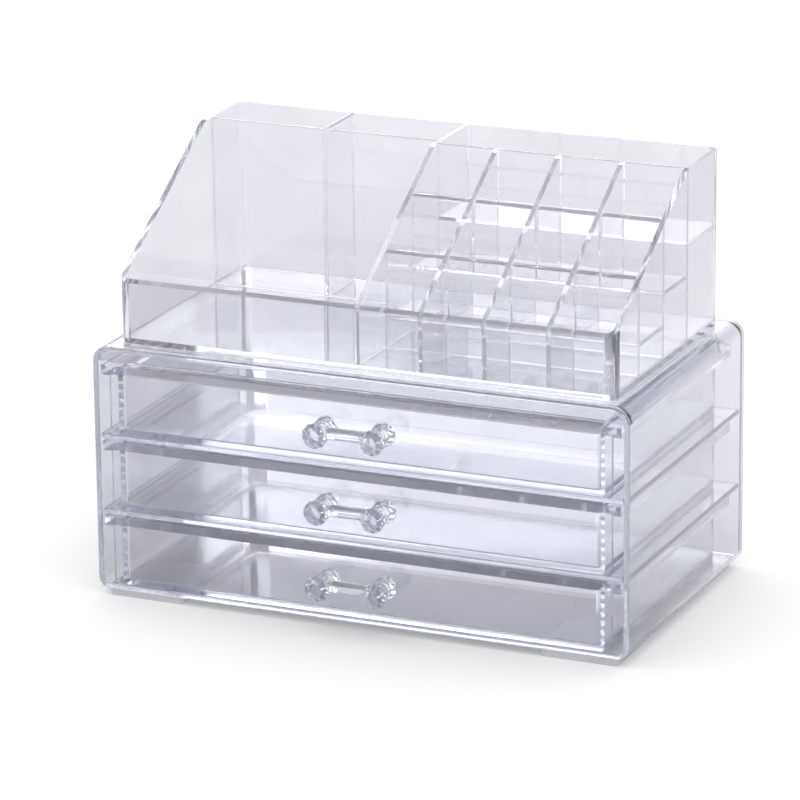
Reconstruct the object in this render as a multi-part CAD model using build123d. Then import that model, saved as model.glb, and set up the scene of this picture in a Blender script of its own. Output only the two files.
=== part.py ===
"""Clear makeup organizer: a cabinet with three drawers and a divided tray that stands on top.

Millimetres. +X to the right, +Y to the back, +Z up. The origin is on the table, under the middle of the
whole outline from the tips of the drawer pulls to the back of the cabinet.
"""

import os

from build123d import *

# Cabinet
cabinet_width = 240.0
cabinet_depth = 135.0
cabinet_height = 110.0
foot_height = 3.0
foot_length = 34.0
foot_setback = 1.0
foot_corner_radius = 2.0
shell_wall = 2.4
shell_top_radius = 7.0
shell_bottom_radius = 5.0
shell_edge_radius = 0.8
header_drop = 5.0
header_thickness = 2.4
header_setback = 3.0
back_thickness = 2.4
shelf_thickness = 2.2
shelf_setback = 0.6

# Drawers
drawer_names = ("bottom", "middle", "top")
drawer_wall = 2.0
drawer_floor = 2.0
drawer_front_radius = 1.5
drawer_rear_radius = 8.0
drawer_edge_radius = 1.0
drawer_pocket_radius = 0.8
drawer_setback = 0.6
drawer_rear_clearance = 1.0
drawer_side_clearance = 1.2
drawer_running_clearance = 0.3
drawer_top_clearance = 1.0
front_overhang = 3.4
front_corner_radius = 2.5
rim_height = 4.0
rim_overhang = 7.4
rim_ledge = 7.0

# Drawer pulls
post_spacing = 25.4
post_facets = 10
post_reach = 15.4
flange_radius = 5.2
flange_length = 3.4
neck_radius = 4.0
knob_radius = 5.4
knob_length = 6.2
knob_tip_radius = 3.2
knob_swell_shares = (0.4, 0.67)
pin_radius = 1.9
pin_clearance = 0.1
rod_radius = 2.6
rod_reach = 7.2
rod_socket = 1.6

# Top tray
tray_width = 222.0
tray_depth = 120.0
tray_height = 76.0
tray_front_height = 26.2
tray_slope_depth = 81.4
tray_wall = 2.2
tray_base = 2.0
tray_corner_radius = 5.0
tray_slope_radius = 6.0
tray_seat_gap = 0.2
divider_thickness = 2.0
cell_columns = 4
cell_rows = 3
cell_width = 26.1
cell_depth = 25.6
step_rise = 14.1
step_thickness = 1.8
brush_box_depth = 28.6

# Fits shared by all pieces
glue_gap = 0.15
cut_overrun = 5.0

# Places worked out from the sizes above
pull_stand_out = post_reach - drawer_setback
rear_y = (cabinet_depth + pull_stand_out) / 2
front_y = rear_y - cabinet_depth
middle_y = (front_y + rear_y) / 2
shell_floor_z = foot_height + shell_wall
shell_inner_half = cabinet_width / 2 - shell_wall
shell_ceiling_z = cabinet_height - shell_wall
header_z = shell_ceiling_z - header_drop
back_rear_y = rear_y - shell_edge_radius
back_front_y = back_rear_y - back_thickness
shelf_count = len(drawer_names) - 1
bay_height = (header_z - shell_floor_z - shelf_count * shelf_thickness) / len(drawer_names)
bay_pitch = bay_height + shelf_thickness
drawer_height = bay_height - drawer_running_clearance - drawer_top_clearance
drawer_front_y = front_y + drawer_setback
drawer_rear_y = back_front_y - drawer_rear_clearance
drawer_half = shell_inner_half - drawer_side_clearance - rim_overhang
rod_y = drawer_front_y - rod_reach

tray_z = cabinet_height + tray_seat_gap
tray_floor_z = tray_z + tray_base
tray_front_y = middle_y - tray_depth / 2
tray_rear_y = middle_y + tray_depth / 2
tray_inner_front_y = tray_front_y + tray_wall
tray_inner_rear_y = tray_rear_y - tray_wall
tray_inner_half = tray_width / 2 - tray_wall
row_pitch = cell_depth + divider_thickness
column_pitch = cell_width + divider_thickness
cells_left_x = tray_inner_half - cell_columns * column_pitch + divider_thickness
section_x = cells_left_x - divider_thickness / 2
brush_wall_rear_y = tray_inner_rear_y - brush_box_depth
rear_row_wall_y = tray_inner_front_y + cell_rows * row_pitch - divider_thickness


def block(x_span, y_span, z_span):
    """Box between the two limits given on each axis."""
    spans = (x_span, y_span, z_span)
    middle = [(low + high) / 2 for low, high in spans]
    return Pos(*middle) * Box(*[high - low for low, high in spans])


def plan_outline(width, depth, front_radius, rear_radius):
    """Centred rectangle with one radius on its front corners and another on its rear corners."""
    outline = Rectangle(width, depth)
    outline = fillet(outline.vertices().group_by(Axis.Y)[0], front_radius)
    return fillet(outline.vertices().sort_by(Axis.Y)[-2:], rear_radius)


def bay_floor_z(level):
    """Height of the surface that the drawer of this level slides on, counted from the bottom."""
    return shell_floor_z + level * bay_pitch


def row_floor_z(row):
    """Height of the floor of a lipstick row, counted from the front, or of the channel behind them."""
    return tray_floor_z + row * step_rise


def row_wall_y(row):
    """Front face of the wall at the back of a lipstick row."""
    return tray_inner_front_y + row * row_pitch + cell_depth


def slope_z(y):
    """Height of the tray's sloping edge, or of its level top behind the slope."""
    share = (y - tray_front_y) / tray_slope_depth
    rise = tray_height - tray_front_height
    return tray_z + tray_front_height + rise * min(max(share, 0), 1)


# Cabinet pieces


def shell_section(inset, height_low, height_high):
    """Front view of the shell, or of its hollow where inset is the wall."""
    half = cabinet_width / 2 - inset
    outline = Pos(0, (height_low + height_high) / 2) * Rectangle(2 * half, height_high - height_low)
    outline = fillet(outline.vertices().group_by(Axis.Y)[0], shell_bottom_radius - inset)
    return fillet(outline.vertices().sort_by(Axis.Y)[-2:], shell_top_radius - inset)


def along_depth(section, y_front, y_rear):
    """Runs a front-view section from one depth to another."""
    plane = Plane((0, y_front, 0), x_dir=(1, 0, 0), z_dir=(0, -1, 0))
    return extrude(plane * section, amount=y_front - y_rear)


def cabinet_shell():
    """Rounded tube open at the front and the rear, with a lip that closes the gap over the top drawer."""
    outer = along_depth(shell_section(0, foot_height, cabinet_height), front_y, rear_y)
    hollow = shell_section(shell_wall, shell_floor_z, shell_ceiling_z)
    shell = outer - along_depth(hollow, front_y - cut_overrun, rear_y + cut_overrun)
    ends = shell.edges().filter_by_position(Axis.Y, front_y, front_y)
    ends += shell.edges().filter_by_position(Axis.Y, rear_y, rear_y)
    shell = fillet(ends, shell_edge_radius)
    lip_front = front_y + header_setback
    lip = block(
        (-cabinet_width / 2, cabinet_width / 2),
        (lip_front, lip_front + header_thickness),
        (header_z, cabinet_height),
    )
    return shell + (lip & along_depth(hollow, front_y, rear_y))


def back_panel():
    """Plate that closes the rear of the shell, just inside its rounded rear edge."""
    inset = shell_wall + glue_gap
    section = shell_section(inset, shell_floor_z + glue_gap, shell_ceiling_z - glue_gap)
    return along_depth(section, back_front_y, back_rear_y)


def shelf(level):
    """Full-width plate under the drawer of this level."""
    half = shell_inner_half - glue_gap
    top = bay_floor_z(level)
    return block(
        (-half, half),
        (front_y + shelf_setback, back_front_y - glue_gap),
        (top - shelf_thickness, top),
    )


def foot(x_side, y_side):
    """Low corner pad, under the flat of the shell's bottom."""
    outline = fillet(Rectangle(foot_length, foot_length).vertices(), foot_corner_radius)
    centre_x = x_side * (cabinet_width / 2 - shell_bottom_radius - foot_length / 2)
    centre_y = middle_y + y_side * (cabinet_depth / 2 - foot_setback - foot_length / 2)
    return Pos(centre_x, centre_y) * extrude(outline, amount=foot_height - glue_gap)


# Drawer pieces


def front_plate(bottom, top):
    """Face of a drawer, standing out past the box at both sides, with rounded lower corners."""
    width = 2 * (drawer_half + front_overhang)
    face = Pos(0, (bottom + top) / 2) * Rectangle(width, top - bottom)
    face = fillet(face.vertices().group_by(Axis.Y)[0], front_corner_radius)
    return along_depth(face, drawer_front_y, drawer_front_y + drawer_wall)


def front_ledge(low, high, half_length):
    """Stiffening ledge along the top of a drawer's front, widest at its top."""
    inner_face = drawer_front_y + drawer_wall
    root = drawer_front_y + drawer_wall / 2
    corners = [(root, low), (inner_face, low), (inner_face + rim_ledge, high), (root, high)]
    return extrude(Plane.YZ * Polygon(*corners, align=None), amount=half_length, both=True)


def drawer_tub(level):
    """Open box with a wider face, side rims, a tapered ledge behind the face and two pin holes."""
    bottom = bay_floor_z(level) + drawer_running_clearance
    top = bottom + drawer_height
    rim_low = top - rim_height
    depth = drawer_rear_y - drawer_front_y
    centre_y = (drawer_front_y + drawer_rear_y) / 2

    outline = plan_outline(2 * drawer_half, depth, drawer_front_radius, drawer_rear_radius)
    body = extrude(outline, amount=drawer_height)
    body = fillet(body.edges().group_by(Axis.Z)[0], drawer_edge_radius)

    inner_half = drawer_half - drawer_wall
    inner_radius = drawer_rear_radius - drawer_wall
    pocket_outline = plan_outline(
        2 * inner_half, depth - 2 * drawer_wall, drawer_front_radius, inner_radius
    )
    pocket = extrude(pocket_outline, amount=drawer_height + cut_overrun)
    pocket = fillet(pocket.edges().group_by(Axis.Z)[0], drawer_pocket_radius)
    tub = Pos(0, centre_y, bottom) * (body - Pos(0, 0, drawer_floor) * pocket)
    tub += front_plate(bottom, top)

    rim_rear = drawer_rear_y - drawer_rear_radius
    wall_middle = drawer_half - drawer_wall / 2
    for side in (-1, 1):
        across = sorted((side * wall_middle, side * (drawer_half + rim_overhang)))
        tub += block(across, (drawer_front_y, rim_rear), (rim_low, top))
    tub += front_ledge(rim_low, top, wall_middle)

    for side in (-1, 1):
        hole = Pos(side * post_spacing / 2, 0, pull_z(level)) * Rot(X=90)
        hole *= Cylinder(pin_radius + pin_clearance, 2 * (drawer_wall + cut_overrun))
        tub -= Pos(0, drawer_front_y, 0) * hole
    return tub


def pull_z(level):
    """Height of the middle of a drawer's front."""
    return bay_floor_z(level) + drawer_running_clearance + drawer_height / 2


def facet_ring(radius, reach):
    """Regular outline square to Y, this far in front of the drawer, standing on a flat."""
    plane = Plane((0, drawer_front_y - reach, 0), x_dir=(1, 0, 0), z_dir=(0, -1, 0))
    half_turn = 180 / post_facets
    return plane * RegularPolygon(radius, post_facets, rotation=half_turn)


def pull_post(level, side):
    """Faceted post: flange on the drawer, neck with a socket for the rod, knob, and a pin behind."""
    knob_start = post_reach - knob_length
    rings = [
        (flange_radius, glue_gap),
        (flange_radius, flange_length / 2),
        (neck_radius, flange_length),
        (neck_radius, knob_start),
    ]
    rings += [(knob_radius, knob_start + share * knob_length) for share in knob_swell_shares]
    rings += [(knob_tip_radius, post_reach)]
    post = loft([facet_ring(radius, reach) for radius, reach in rings], ruled=True)
    pin_length = drawer_wall + flange_length / 2
    pin_middle = drawer_front_y + drawer_wall - pin_length / 2
    post += Pos(0, pin_middle, 0) * Rot(X=90) * Cylinder(pin_radius, pin_length)
    post = Pos(side * post_spacing / 2, 0, pull_z(level)) * post

    inner_face = post_spacing / 2 - neck_radius
    socket = Rot(Y=90) * Cylinder(rod_radius + pin_clearance, 2 * (inner_face + rod_socket))
    return post - Pos(0, rod_y, pull_z(level)) * socket


def pull_rod(level):
    """Round rod whose ends sit in the sockets of the two posts."""
    length = post_spacing - 2 * neck_radius + 2 * (rod_socket - glue_gap)
    return Pos(0, rod_y, pull_z(level)) * Rot(Y=90) * Cylinder(rod_radius, length)


# Tray pieces


def tray_profile():
    """Side view of the tray: low front, slope, level top and upright back."""
    top = tray_z + tray_height
    slope_end = tray_front_y + tray_slope_depth
    corners = [
        (tray_front_y, tray_z),
        (tray_rear_y, tray_z),
        (tray_rear_y, top),
        (slope_end, top),
        (tray_front_y, tray_z + tray_front_height),
    ]
    face = Plane.YZ * Polygon(*corners, align=None)
    bend = face.vertices().filter_by_position(Axis.Y, slope_end, slope_end)
    return extrude(fillet(bend, tray_slope_radius), amount=tray_width / 2, both=True)


def tray_plan(inset, bottom, height):
    """Upright prism of the tray's plan with rounded corners, taken in by an inset."""
    radius = tray_corner_radius - inset
    outline = plan_outline(tray_width - 2 * inset, tray_depth - 2 * inset, radius, radius)
    return Pos(0, middle_y, bottom) * extrude(outline, amount=height)


def tray_shell(profile):
    """Base, low front, sloping sides and full-height back in one, with rounded upright corners."""
    outer = tray_plan(0, tray_z, tray_height) & profile
    return outer - tray_plan(tray_wall, tray_floor_z, tray_height)


def section_divider(profile):
    """Upright plate from front to back between the left part and the lipstick part."""
    half = divider_thickness / 2
    plate = block(
        (section_x - half, section_x + half),
        (tray_inner_front_y + glue_gap, tray_inner_rear_y - glue_gap),
        (tray_floor_z + glue_gap, tray_z + tray_height),
    )
    return plate & profile


def brush_wall():
    """Full-height wall in front of the brush boxes."""
    return block(
        (-tray_inner_half + glue_gap, section_x - divider_thickness / 2 - glue_gap),
        (brush_wall_rear_y - divider_thickness, brush_wall_rear_y),
        (tray_floor_z + glue_gap, tray_z + tray_height),
    )


def brush_divider():
    """Wall between the two brush boxes."""
    middle = (section_x - divider_thickness / 2 - tray_inner_half) / 2
    return block(
        (middle - divider_thickness / 2, middle + divider_thickness / 2),
        (brush_wall_rear_y + glue_gap, tray_inner_rear_y - glue_gap),
        (tray_floor_z + glue_gap, tray_z + tray_height),
    )


def column_x(column):
    """Left face of the divider on the right of a lipstick column."""
    return cells_left_x + column * column_pitch + cell_width


def lap_z(row):
    """Height where a column divider sits in the slot of the wall behind a row."""
    return (row_floor_z(row + 1) + slope_z(row_wall_y(row))) / 2


def column_divider(column, profile):
    """Stepped plate that stands on the row floors, slotted from below over the two row walls."""
    left = column_x(column)
    across = (left, left + divider_thickness)
    top = tray_z + tray_height
    plate = None
    for row in range(cell_rows):
        front = tray_inner_front_y + row * row_pitch - divider_thickness
        if row == 0:
            front = tray_inner_front_y + glue_gap
        step = block(across, (front, row_wall_y(row)), (row_floor_z(row) + glue_gap, top))
        plate = step if plate is None else plate + step
    rear = rear_row_wall_y - glue_gap
    plate &= block(across, (tray_inner_front_y, rear), (tray_floor_z, top))
    for row in range(cell_rows - 1):
        slot_front = row_wall_y(row) - glue_gap
        slot_rear = row_wall_y(row) + divider_thickness + glue_gap
        plate -= block(
            (left - cut_overrun, left + cut_overrun),
            (slot_front, slot_rear),
            (tray_z, lap_z(row) + glue_gap),
        )
    return plate & profile


def row_wall(row, profile):
    """Wall behind a lipstick row, down to the base, slotted from above for the column dividers."""
    front = row_wall_y(row)
    right = tray_inner_half - glue_gap
    wall = block(
        (cells_left_x + glue_gap, right),
        (front, front + divider_thickness),
        (tray_floor_z + glue_gap, tray_z + tray_height),
    )
    for column in range(cell_columns - 1):
        left = column_x(column) - glue_gap
        wall -= block(
            (left, left + divider_thickness + 2 * glue_gap),
            (front - cut_overrun, front + cut_overrun),
            (lap_z(row), tray_z + tray_height + cut_overrun),
        )
    return wall & profile


def rear_row_wall():
    """Full-height wall between the last lipstick row and the channel behind it."""
    return block(
        (cells_left_x + glue_gap, tray_inner_half - glue_gap),
        (rear_row_wall_y, rear_row_wall_y + divider_thickness),
        (tray_floor_z + glue_gap, tray_z + tray_height),
    )


def step_floor(row):
    """Raised floor of a lipstick row, or of the channel behind the rows."""
    front = tray_inner_front_y + row * row_pitch
    rear = tray_inner_rear_y if row == cell_rows else row_wall_y(row) - glue_gap
    top = row_floor_z(row)
    plate = block(
        (cells_left_x + glue_gap, tray_inner_half),
        (front + glue_gap, rear),
        (top - step_thickness, top),
    )
    return plate & tray_plan(tray_wall + glue_gap, tray_z, tray_height)


def build_pieces():
    """Every piece in its place, by name."""
    pieces = {
        "cabinet_shell": cabinet_shell(),
        "back_panel": back_panel(),
        "shelf_lower": shelf(1),
        "shelf_upper": shelf(2),
    }
    for x_name, x_side in (("left", -1), ("right", 1)):
        for y_name, y_side in (("front", -1), ("rear", 1)):
            pieces[f"foot_{y_name}_{x_name}"] = foot(x_side, y_side)

    for level, name in enumerate(drawer_names):
        pieces[f"drawer_{name}_tub"] = drawer_tub(level)
        pieces[f"drawer_{name}_pull_post_left"] = pull_post(level, -1)
        pieces[f"drawer_{name}_pull_post_right"] = pull_post(level, 1)
        pieces[f"drawer_{name}_pull_rod"] = pull_rod(level)

    profile = tray_profile()
    pieces["tray_shell"] = tray_shell(profile)
    pieces["tray_section_divider"] = section_divider(profile)
    pieces["tray_brush_wall"] = brush_wall()
    pieces["tray_brush_divider"] = brush_divider()
    for column in range(cell_columns - 1):
        pieces[f"tray_column_divider_{column + 1}"] = column_divider(column, profile)
    for row in range(cell_rows - 1):
        pieces[f"tray_row_wall_{row + 1}"] = row_wall(row, profile)
    pieces["tray_row_wall_rear"] = rear_row_wall()
    for row in range(1, cell_rows):
        pieces[f"tray_step_floor_{row + 1}"] = step_floor(row)
    pieces["tray_channel_floor"] = step_floor(cell_rows)
    return pieces


os.makedirs("parts", exist_ok=True)
for node, piece in build_pieces().items():
    export_step(piece, f"parts/{node}.step")
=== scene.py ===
"""Clear makeup organizer: its finishes, a plain white studio and the camera, in metres."""

import math

import bpy
from mathutils import Euler, Matrix, Vector

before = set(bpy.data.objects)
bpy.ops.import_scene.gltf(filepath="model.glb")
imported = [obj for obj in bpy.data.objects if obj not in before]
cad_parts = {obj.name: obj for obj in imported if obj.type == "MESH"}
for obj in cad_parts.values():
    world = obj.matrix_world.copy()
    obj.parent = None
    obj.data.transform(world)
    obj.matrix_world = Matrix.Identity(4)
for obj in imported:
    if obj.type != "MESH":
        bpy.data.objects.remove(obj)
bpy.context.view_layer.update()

# Camera, matched to the photograph
camera_target = Vector((-0.0065, 0.0003, 0.0817))
camera_distance = 2.066
camera_azimuth = math.radians(23.9)
camera_elevation = math.radians(17.52)
camera_roll = math.radians(0.6)
camera_sensor = 36.0
camera_lens = 221.2
camera_reach = 50.0

# Moulded edges
edge_radius = 0.0006
pull_edge_radius = 0.00015
edge_angle = math.radians(40)
edge_segments = 2
weld_distance = 0.000005

# Studio, its brightness by height from the horizon (0) to straight overhead (1)
floor_size = 40.0
floor_colour = (0.95, 0.95, 0.955)
floor_lift = 0.06
studio_white = (1.0, 1.0, 1.0)
studio_grey = (0.65, 0.65, 0.685)
ceiling_glow = (1.3, 1.3, 1.32)
ceiling_stops = [(0.82, studio_grey), (0.87, ceiling_glow), (1.0, ceiling_glow)]
backdrop_stops = [
    (0.0, studio_white),
    (0.1, (0.85, 0.85, 0.86)),
    (0.25, (0.42, 0.42, 0.44)),
    (0.6, studio_grey),
    *ceiling_stops,
]
room_stops = [
    (0.0, studio_white),
    (0.4, (0.85, 0.85, 0.87)),
    (0.55, studio_grey),
    *ceiling_stops,
]
backdrop_edges = (-0.2, 0.3)
key_azimuth = math.radians(25)
key_elevation = math.radians(28)
key_angle = math.radians(20)
key_strength = 1.85

# Softboxes: name, left, right, low and high from their centre, and watts per square metre
back_centre = Vector((-0.025, 0.62, 0.2375))
back_left, back_right = -0.345, 0.345
back_panels = [
    ("back_low", back_left, back_right, -0.0975, -0.03, 1.7),
    ("back_middle", back_left, back_right, -0.03, 0.045, 0.7),
    ("back_high", back_left, back_right, 0.045, 0.084, 1.0),
    ("back_top", back_left, back_right, 0.084, 0.14, 0.7),
    ("back_side", -0.7, back_left, 0.025, 0.084, 1.0),
]
back_spread = math.radians(70)

# Clear plastic
plastic_ior = 1.57
body_colour = (0.72, 0.74, 0.80)
body_density = 9.0
tray_density = 3.0
pull_density = 50.0
foot_clarity = 0.8
flow_scale, flow_detail = 30.0, 2.0
flow_low, flow_high = 0.3, 0.7
flow_share = 0.2
haze_scale, haze_detail = 260.0, 4.0
haze_roughness = 0.05
wave_scale, wave_detail = 22.0, 1.0
wave_strength = 0.1
wave_height = 0.0004

# Tints of one wall, of one level plate, and of the shadow; the shell's and tray's walls are darkened as
# painted shade and their level plates paled as painted light
shell_wall_shade_tint, shell_level_light_tint = (0.67, 0.677, 0.71), (0.84, 0.845, 0.87)
cabinet_tint, cabinet_shade = (0.86, 0.865, 0.89), (0.93, 0.93, 0.94)
drawer_tint = (0.88, 0.883, 0.905)
tray_wall_shade_tint, tray_level_light_tint = (0.72, 0.724, 0.75), (0.88, 0.883, 0.9)
tray_tint, tray_shade = (0.94, 0.942, 0.955), (0.9, 0.9, 0.92)
pull_tint, pull_shade = (0.97, 0.972, 0.98), (0.9, 0.9, 0.91)
foot_tint, foot_shade = (0.93, 0.93, 0.96), (0.98, 0.98, 0.985)

# Bounces for stacked clear walls
light_bounces = 96
shadow_bounces = 80

# Colour sockets of a mix node, by number because other sockets have the same names
mix_factor, mix_first, mix_second, mix_result = 0, 6, 7, 2


def add_node(tree, kind, **values):
    """New node with the given input values, by socket name."""
    node = tree.nodes.new(kind)
    for name, value in values.items():
        node.inputs[name.replace("_", " ")].default_value = value
    return node


def ramp(tree, source, stops):
    """Colour ramp on a factor, with (place, colour) stops."""
    node = tree.nodes.new("ShaderNodeValToRGB")
    elements = node.color_ramp.elements
    while len(elements) < len(stops):
        elements.new(1.0)
    for element, (place, colour) in zip(elements, stops):
        element.position = place
        element.color = (*colour, 1.0)
    tree.links.new(source, node.inputs["Fac"])
    return node.outputs["Color"]


def paint_light_on_level_faces(tree, normal, colour, level_light_tint):
    """Painted light and shade: blends a colour to a paler level tint where the surface lies level, so
    level plates read lit and walls shaded.
    """
    parts = tree.nodes.new("ShaderNodeSeparateXYZ")
    level = tree.nodes.new("ShaderNodeMath")
    level.operation = "ABSOLUTE"
    blend = tree.nodes.new("ShaderNodeMix")
    blend.data_type = "RGBA"
    blend.inputs[mix_second].default_value = (*level_light_tint, 1.0)
    tree.links.new(normal, parts.inputs["Vector"])
    tree.links.new(parts.outputs["Z"], level.inputs[0])
    tree.links.new(level.outputs["Value"], blend.inputs[mix_factor])
    tree.links.new(colour, blend.inputs[mix_first])
    return blend.outputs[mix_result]


def clear_plastic(name, tint, shadow_tint, density=body_density, level_light_tint=None, clarity=1.0):
    """Clear moulded plastic: cool tint, faint flow waves and fine handling haze; a level tint paints light
    on level faces and leaves walls darker as painted shade.
    """
    material = bpy.data.materials.new(name)
    material.use_nodes = True
    tree = material.node_tree
    tree.nodes.clear()
    output = tree.nodes.new("ShaderNodeOutputMaterial")
    shader = tree.nodes.new("ShaderNodeBsdfPrincipled")
    shader.inputs["Transmission Weight"].default_value = clarity
    shader.inputs["IOR"].default_value = plastic_ior
    coordinates = tree.nodes.new("ShaderNodeTexCoord").outputs
    place = coordinates["Object"]

    flow = add_node(tree, "ShaderNodeTexNoise", Scale=flow_scale, Detail=flow_detail)
    tree.links.new(place, flow.inputs["Vector"])
    pale = [channel + (1 - channel) * flow_share for channel in tint]
    colour = ramp(tree, flow.outputs["Fac"], [(flow_low, tint), (flow_high, pale)])
    # Painted light and shade: level faces take a paler tint than walls
    if level_light_tint:
        colour = paint_light_on_level_faces(tree, coordinates["Normal"], colour, level_light_tint)
    tree.links.new(colour, shader.inputs["Base Color"])

    haze = add_node(tree, "ShaderNodeTexNoise", Scale=haze_scale, Detail=haze_detail)
    tree.links.new(place, haze.inputs["Vector"])
    rough = add_node(tree, "ShaderNodeMapRange", To_Min=0.0, To_Max=haze_roughness)
    tree.links.new(haze.outputs["Fac"], rough.inputs["Value"])
    tree.links.new(rough.outputs["Result"], shader.inputs["Roughness"])

    wave = add_node(tree, "ShaderNodeTexNoise", Scale=wave_scale, Detail=wave_detail)
    tree.links.new(place, wave.inputs["Vector"])
    bump = add_node(tree, "ShaderNodeBump", Strength=wave_strength, Distance=wave_height)
    tree.links.new(wave.outputs["Fac"], bump.inputs["Height"])
    tree.links.new(bump.outputs["Normal"], shader.inputs["Normal"])

    shade = add_node(tree, "ShaderNodeBsdfTransparent", Color=(*shadow_tint, 1.0))
    path = tree.nodes.new("ShaderNodeLightPath")
    mix = tree.nodes.new("ShaderNodeMixShader")
    tree.links.new(path.outputs["Is Shadow Ray"], mix.inputs["Fac"])
    tree.links.new(shader.outputs["BSDF"], mix.inputs[1])
    tree.links.new(shade.outputs["BSDF"], mix.inputs[2])
    tree.links.new(mix.outputs["Shader"], output.inputs["Surface"])

    body = add_node(tree, "ShaderNodeVolumeAbsorption", Color=(*body_colour, 1.0), Density=density)
    tree.links.new(body.outputs["Volume"], output.inputs["Volume"])
    return material


def dress(finishes):
    """Gives each CAD node its finish, by name or else by slot, and softens its moulded edges."""
    for name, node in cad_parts.items():
        for slot in node.material_slots:
            slot.material = finishes.get(name, finishes[slot.material.name])
        weld = node.modifiers.new("weld", "WELD")
        weld.merge_threshold = weld_distance
        bevel = node.modifiers.new("edges", "BEVEL")
        bevel.width = pull_edge_radius if "pull" in name else edge_radius
        bevel.segments = edge_segments
        bevel.limit_method = "ANGLE"
        bevel.angle_limit = edge_angle


def seen_rays(tree):
    """1 for camera, glossy and transmission rays, else 0."""
    path = tree.nodes.new("ShaderNodeLightPath")
    total = path.outputs["Is Camera Ray"]
    for name in ("Is Glossy Ray", "Is Transmission Ray"):
        largest = tree.nodes.new("ShaderNodeMath")
        largest.operation = "MAXIMUM"
        tree.links.new(total, largest.inputs[0])
        tree.links.new(path.outputs[name], largest.inputs[1])
        total = largest.outputs[0]
    return total


def floor_finish():
    """Pale matt paper, lifted to white where it is seen, so that only shadows show on it."""
    material = bpy.data.materials.new("studio_floor")
    material.use_nodes = True
    tree = material.node_tree
    tree.nodes.clear()
    output = tree.nodes.new("ShaderNodeOutputMaterial")
    paper = add_node(tree, "ShaderNodeBsdfDiffuse", Color=(*floor_colour, 1.0))
    lift = tree.nodes.new("ShaderNodeEmission")
    strength = tree.nodes.new("ShaderNodeMath")
    strength.operation = "MULTIPLY"
    strength.inputs[1].default_value = floor_lift
    tree.links.new(seen_rays(tree), strength.inputs[0])
    tree.links.new(strength.outputs[0], lift.inputs["Strength"])
    both = tree.nodes.new("ShaderNodeAddShader")
    tree.links.new(paper.outputs["BSDF"], both.inputs[0])
    tree.links.new(lift.outputs["Emission"], both.inputs[1])
    tree.links.new(both.outputs["Shader"], output.inputs["Surface"])
    return material


def build_floor():
    """Plain pale floor under the part."""
    half = floor_size / 2
    mesh = bpy.data.meshes.new("studio_floor")
    corners = [(-half, -half, 0), (half, -half, 0), (half, half, 0), (-half, half, 0)]
    mesh.from_pydata(corners, [], [(0, 1, 2, 3)])
    mesh.materials.append(floor_finish())
    floor = bpy.data.objects.new("studio_floor", mesh)
    bpy.context.scene.collection.objects.link(floor)


def build_world():
    """White low down and bright overhead, with a darker band behind the part; white to the camera."""
    world = bpy.data.worlds.new("studio")
    bpy.context.scene.world = world
    world.use_nodes = True
    tree = world.node_tree
    tree.nodes.clear()
    output = tree.nodes.new("ShaderNodeOutputWorld")
    way = tree.nodes.new("ShaderNodeSeparateXYZ")
    tree.links.new(tree.nodes.new("ShaderNodeTexCoord").outputs["Generated"], way.inputs["Vector"])
    behind = add_node(tree, "ShaderNodeMapRange", From_Min=backdrop_edges[0], From_Max=backdrop_edges[1])
    tree.links.new(way.outputs["Y"], behind.inputs["Value"])
    sky = tree.nodes.new("ShaderNodeMixRGB")
    tree.links.new(behind.outputs["Result"], sky.inputs["Fac"])
    tree.links.new(ramp(tree, way.outputs["Z"], room_stops), sky.inputs["Color1"])
    tree.links.new(ramp(tree, way.outputs["Z"], backdrop_stops), sky.inputs["Color2"])
    studio = add_node(tree, "ShaderNodeBackground", Strength=1.0)
    tree.links.new(sky.outputs["Color"], studio.inputs["Color"])
    white = add_node(tree, "ShaderNodeBackground", Color=(*studio_white, 1.0))
    path = tree.nodes.new("ShaderNodeLightPath")
    mix = tree.nodes.new("ShaderNodeMixShader")
    tree.links.new(path.outputs["Is Camera Ray"], mix.inputs["Fac"])
    tree.links.new(studio.outputs["Background"], mix.inputs[1])
    tree.links.new(white.outputs["Background"], mix.inputs[2])
    tree.links.new(mix.outputs["Shader"], output.inputs["Surface"])


def build_key():
    """One wide, far lamp from above the camera, so that the shadow lies behind the part."""
    light = bpy.data.lights.new("key", "SUN")
    light.energy = key_strength
    light.angle = key_angle
    lamp = bpy.data.objects.new("key", light)
    lamp.rotation_euler = (math.pi / 2 - key_elevation, 0, key_azimuth)
    bpy.context.scene.collection.objects.link(lamp)


def build_backlights():
    """Softboxes behind the part and above the picture, seen mirrored in its level plates."""
    turn = Euler((camera_elevation - math.pi / 2, 0, camera_azimuth))
    for name, left, right, low, high, glow in back_panels:
        light = bpy.data.lights.new(name, "AREA")
        light.shape = "RECTANGLE"
        light.size, light.size_y = right - left, high - low
        light.spread = back_spread
        light.energy = glow * light.size * light.size_y
        lamp = bpy.data.objects.new(name, light)
        lamp.rotation_euler = turn
        middle = Vector(((left + right) / 2, -(low + high) / 2, 0))
        lamp.location = back_centre + turn.to_matrix() @ middle
        lamp.visible_camera = False
        bpy.context.scene.collection.objects.link(lamp)


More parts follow.
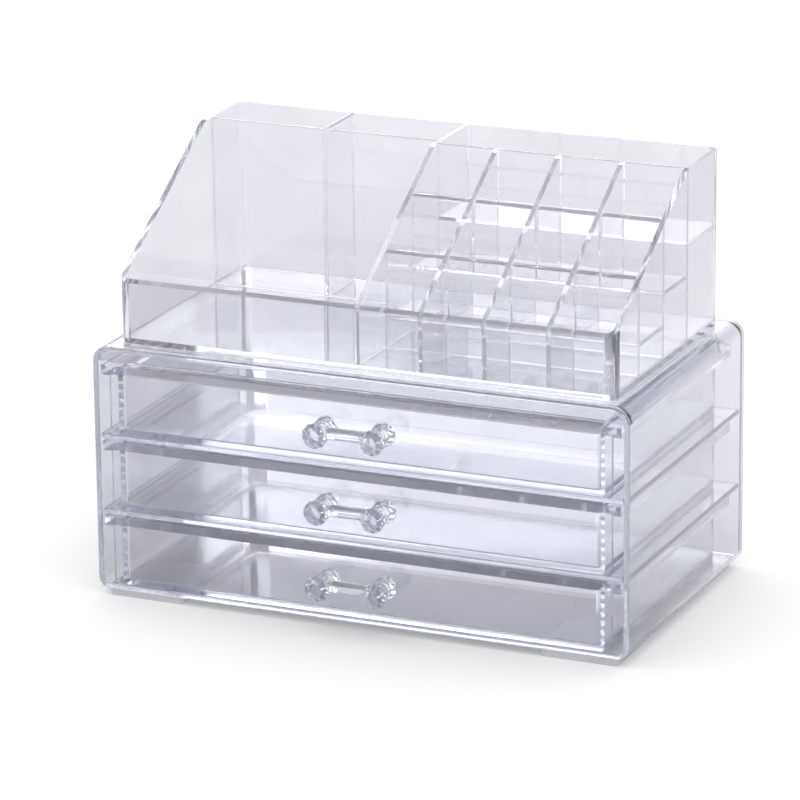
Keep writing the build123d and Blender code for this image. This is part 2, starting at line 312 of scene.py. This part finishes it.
def build_camera():
    """Camera at the photograph's viewing angle and framing."""
    level = math.cos(camera_elevation)
    back = Vector(
        (
            math.sin(camera_azimuth) * level,
            -math.cos(camera_azimuth) * level,
            math.sin(camera_elevation),
        )
    )
    right = Vector((0, 0, 1)).cross(back).normalized()
    up = back.cross(right)
    turned_right = right * math.cos(camera_roll) - up * math.sin(camera_roll)
    turned_up = right * math.sin(camera_roll) + up * math.cos(camera_roll)
    data = bpy.data.cameras.new("camera")
    data.sensor_width = camera_sensor
    data.lens = camera_lens
    data.clip_end = camera_reach
    camera = bpy.data.objects.new("camera", data)
    turn = Matrix((turned_right, turned_up, back)).transposed()
    camera.matrix_world = Matrix.Translation(camera_target + back * camera_distance) @ turn.to_4x4()
    bpy.context.scene.collection.objects.link(camera)
    bpy.context.scene.camera = camera


def set_render():
    """Plain view transform, and enough bounces for stacked clear walls."""
    scene = bpy.context.scene
    scene.view_settings.view_transform = "Standard"
    scene.cycles.max_bounces = light_bounces
    scene.cycles.transmission_bounces = light_bounces
    scene.cycles.glossy_bounces = light_bounces
    scene.cycles.transparent_max_bounces = shadow_bounces
    scene.cycles.caustics_reflective = False
    scene.cycles.caustics_refractive = False


foot_plastic = clear_plastic("foot_plastic", foot_tint, foot_shade, clarity=foot_clarity)
feet = [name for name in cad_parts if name.startswith("foot_")]
dress(
    {
        **dict.fromkeys(feet, foot_plastic),
        # Shell walls tinted darker as painted shade, its level plates paler as painted light
        "cabinet_shell": clear_plastic(
            "shell_plastic", shell_wall_shade_tint, cabinet_shade, level_light_tint=shell_level_light_tint
        ),
        "clear_cabinet": clear_plastic("cabinet_plastic", cabinet_tint, cabinet_shade),
        "clear_drawer": clear_plastic("drawer_plastic", drawer_tint, cabinet_shade),
        # Tray walls tinted darker as painted shade, its level plates paler as painted light
        "tray_shell": clear_plastic("tray_wall", tray_wall_shade_tint, tray_shade, tray_density, tray_level_light_tint),
        "clear_tray": clear_plastic("tray_plastic", tray_tint, tray_shade, tray_density),
        "clear_pull": clear_plastic("pull_plastic", pull_tint, pull_shade, pull_density),
    }
)
build_floor()
build_world()
build_key()
build_backlights()
build_camera()
set_render()
